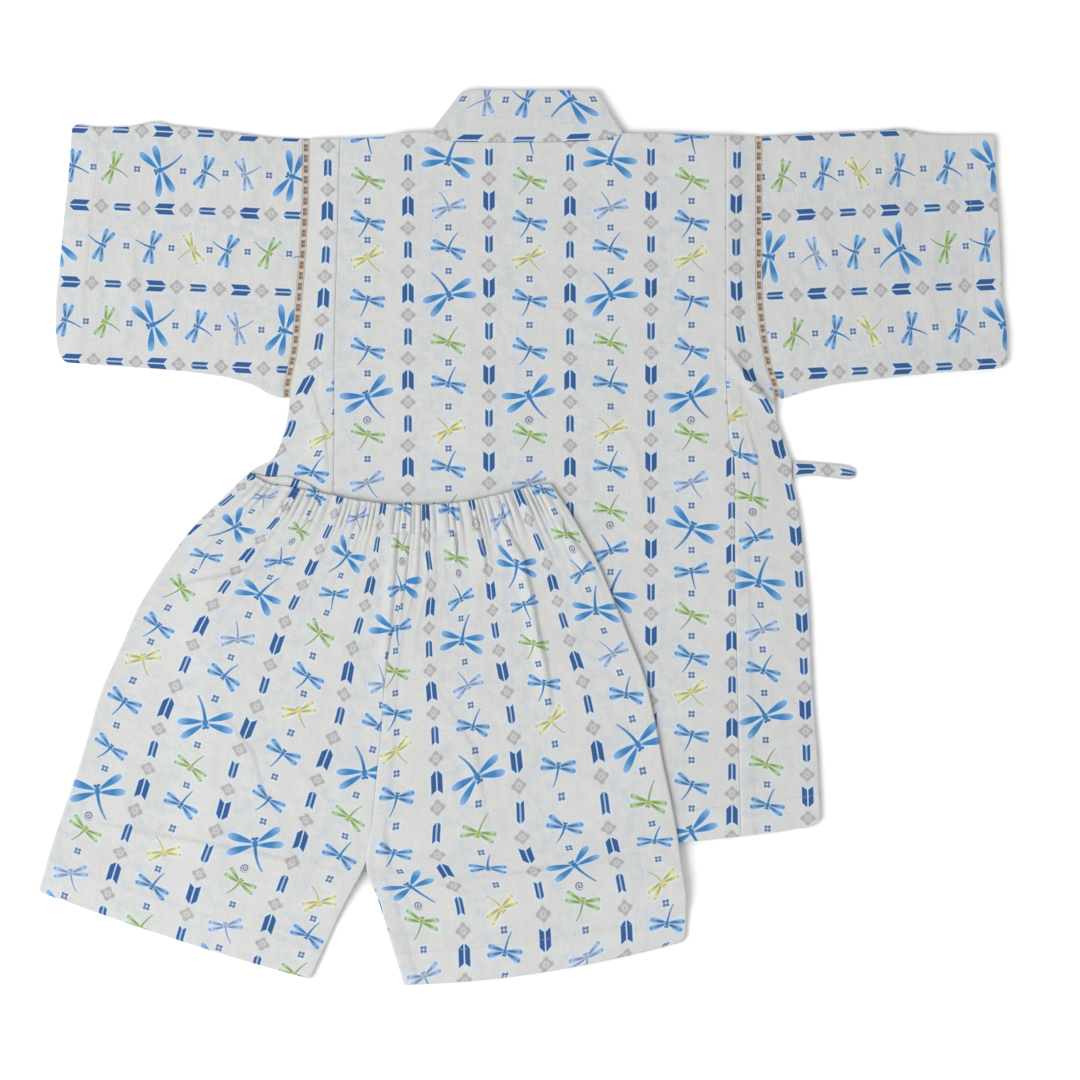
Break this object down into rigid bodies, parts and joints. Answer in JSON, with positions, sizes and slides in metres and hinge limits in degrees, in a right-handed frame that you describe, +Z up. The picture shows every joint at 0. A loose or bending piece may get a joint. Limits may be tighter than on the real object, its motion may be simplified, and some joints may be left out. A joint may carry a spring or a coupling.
{
  "type": "jinbei set",
  "caption": "Child's printed cotton jinbei set laid flat: a wrap jacket face down with ladder lace at the armholes, and gathered shorts lying over it.",
  "frame": {"origin": "centre of the set's outline, on the surface that it lies on", "axes": "+X to the right as seen from above, +Y towards the collar, +Z up from the surface"},
  "size_m": [0.5814, 0.5372, 0.0094],
  "materials": {
    "printed_cotton": "thin matt slub cotton with a small printed repeat",
    "cotton_lace": "matt cotton ladder lace"
  },
  "bodies": {
    "root": {"back": "printed_cotton", "side_left": "printed_cotton", "side_right": "printed_cotton", "front_left": "printed_cotton", "front_right": "printed_cotton", "collar": "printed_cotton", "sleeve_left": "printed_cotton", "sleeve_right": "printed_cotton", "lace_left": "cotton_lace", "lace_right": "cotton_lace", "tie_side": "printed_cotton", "tie_front": "printed_cotton", "shorts_leg_left": "printed_cotton", "shorts_leg_right": "printed_cotton", "shorts_waistband": "printed_cotton"}
  },
  "joints": []
}
